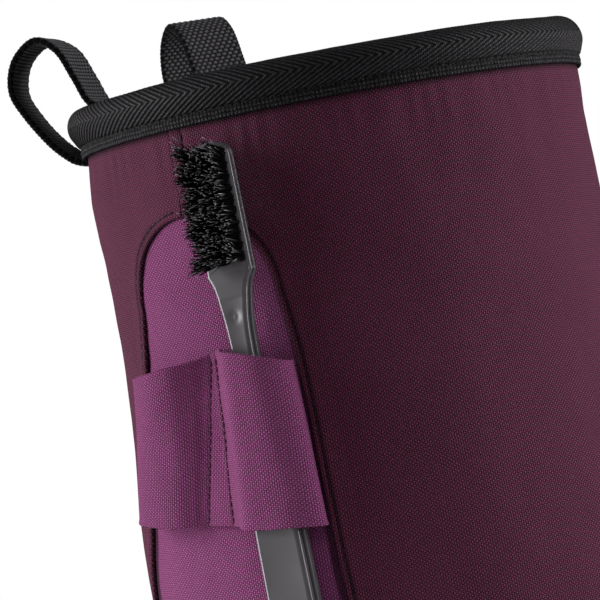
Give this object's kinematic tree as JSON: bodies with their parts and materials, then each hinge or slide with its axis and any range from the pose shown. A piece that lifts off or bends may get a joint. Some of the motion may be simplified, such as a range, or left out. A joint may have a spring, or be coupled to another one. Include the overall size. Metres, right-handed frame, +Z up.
{
  "type": "climbing chalk bag with a brush",
  "caption": "Round climbing chalk bag with a padded bound rim, webbing loops at the back, and a cloth holder on its side that carries a brush.",
  "frame": {"origin": "centre of the round base, on the surface it stands on", "axes": "+Z up out of the mouth, -Y the front, +Y the side against the wearer with the webbing loops, -X the side with the brush holder"},
  "size_m": [0.1434, 0.1468, 0.1885],
  "materials": {
    "dark_cloth": "plain-woven polyester, dark plum",
    "light_cloth": "coarser woven polyester, lighter purple",
    "binding_tape": "black twill tape",
    "webbing": "black ribbed webbing",
    "brush_plastic": "dark grey, satin face and glossy rounded edges",
    "bristle": "black bristles with paler worn tips"
  },
  "bodies": {
    "root": {"front_panel": "dark_cloth", "back_panel": "dark_cloth", "side_panel": "light_cloth", "base_panel": "dark_cloth", "rim_binding": "binding_tape", "webbing_loop_brush_side": "webbing", "webbing_loop_far_side": "webbing", "brush_holder": "light_cloth", "brush_handle": "brush_plastic", "brush_bristles": "bristle"}
  },
  "joints": []
}
